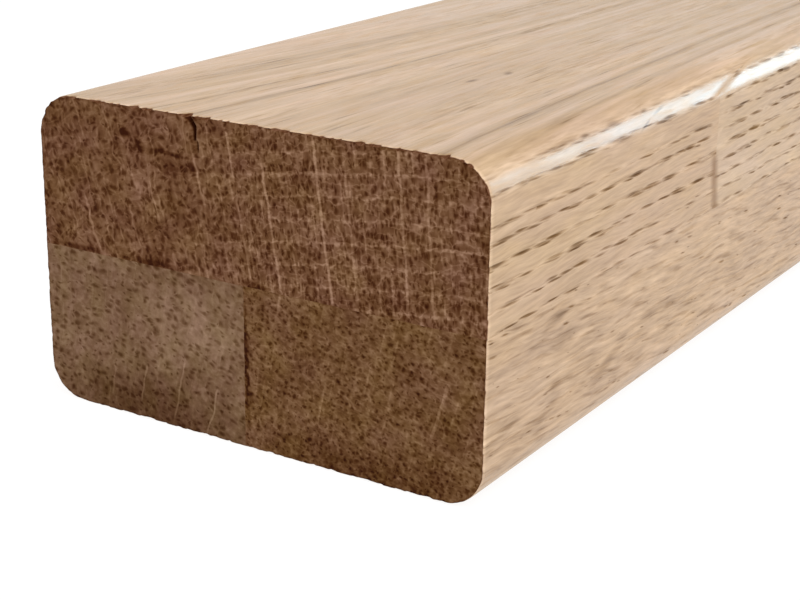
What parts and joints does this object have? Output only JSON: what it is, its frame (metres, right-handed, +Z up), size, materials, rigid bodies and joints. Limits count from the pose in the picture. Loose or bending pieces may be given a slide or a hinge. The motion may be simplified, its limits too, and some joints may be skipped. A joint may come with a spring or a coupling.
{
  "type": "wooden handrail",
  "caption": "Straight glue-laminated oak handrail, rectangular in section with rounded long edges, lacquered long faces, raw square-sawn ends and a finger joint near one end.",
  "frame": {"origin": "middle of the flat underside, halfway along the rail", "axes": "+Y along the rail, away from the pictured sawn end at -Y; +X across it, to the right of that end; +Z up through the full-width lamella"},
  "size_m": [0.064, 1, 0.04],
  "materials": {
    "upper_oak": "light oak under a clear satin lacquer, raw dark brown end grain on the sawn ends",
    "lower_left_oak": "light oak under a clear satin lacquer, raw greyish brown end grain on the sawn ends",
    "lower_right_oak": "light oak under a clear satin lacquer, raw olive brown end grain on the sawn ends"
  },
  "bodies": {
    "root": {"top_lamella_end_block": "upper_oak", "top_lamella": "upper_oak", "bottom_left_lamella": "lower_left_oak", "bottom_right_lamella": "lower_right_oak"}
  },
  "joints": []
}
